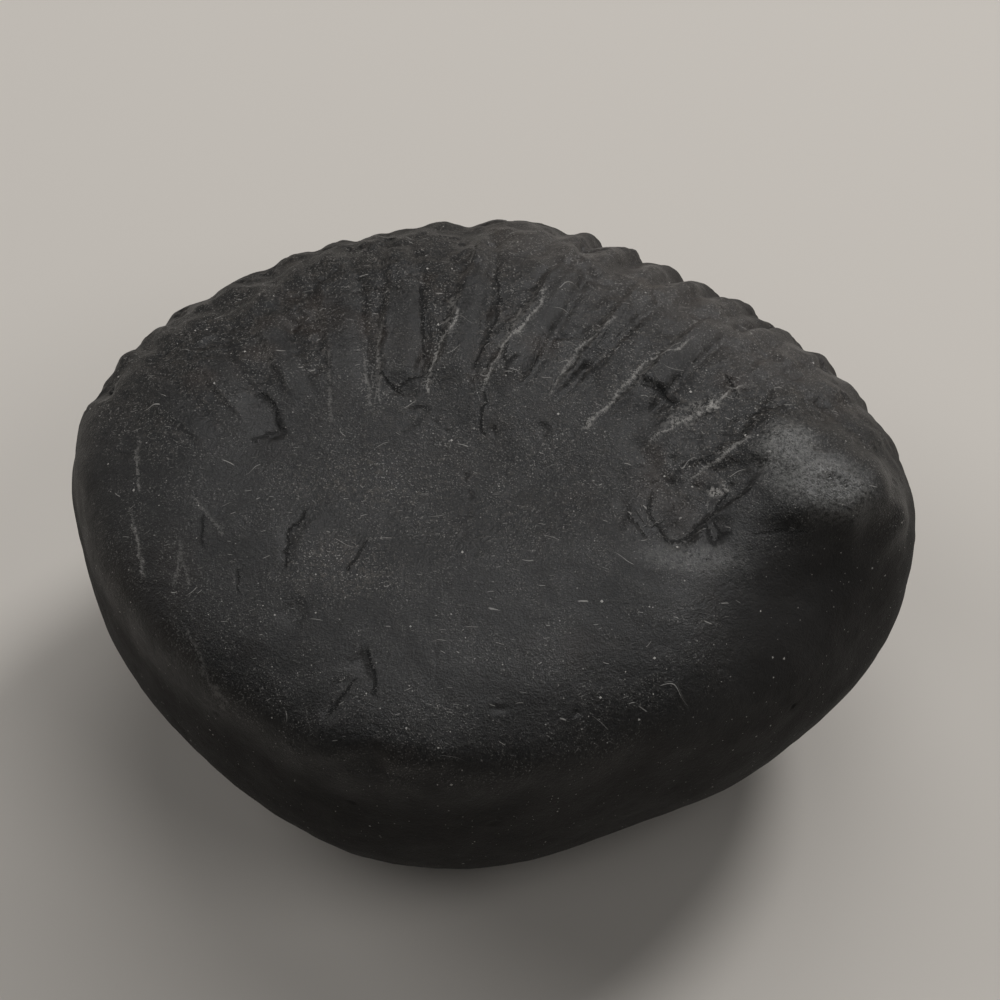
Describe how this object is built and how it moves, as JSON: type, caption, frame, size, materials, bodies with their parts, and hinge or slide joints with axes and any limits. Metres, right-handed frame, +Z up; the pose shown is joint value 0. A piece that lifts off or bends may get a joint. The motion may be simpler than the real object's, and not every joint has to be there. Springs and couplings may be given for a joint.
{
  "type": "shaligram stone",
  "caption": "Black river-worn fossil pebble with a smooth hollow upper face, ribs fanning to a lobed edge and a raised knob at one end.",
  "frame": {"origin": "middle of the resting side, under the middle of the stone's box", "axes": "+X along the stone towards its knob, +Y towards its ribbed edge, +Z up out of the hollow upper face"},
  "size_m": [0.082, 0.067, 0.0444],
  "materials": {
    "black_stone": "water-worn black stone with a satin surface, dusty in places"
  },
  "bodies": {
    "root": {"shaligram_stone": "black_stone"}
  },
  "joints": []
}
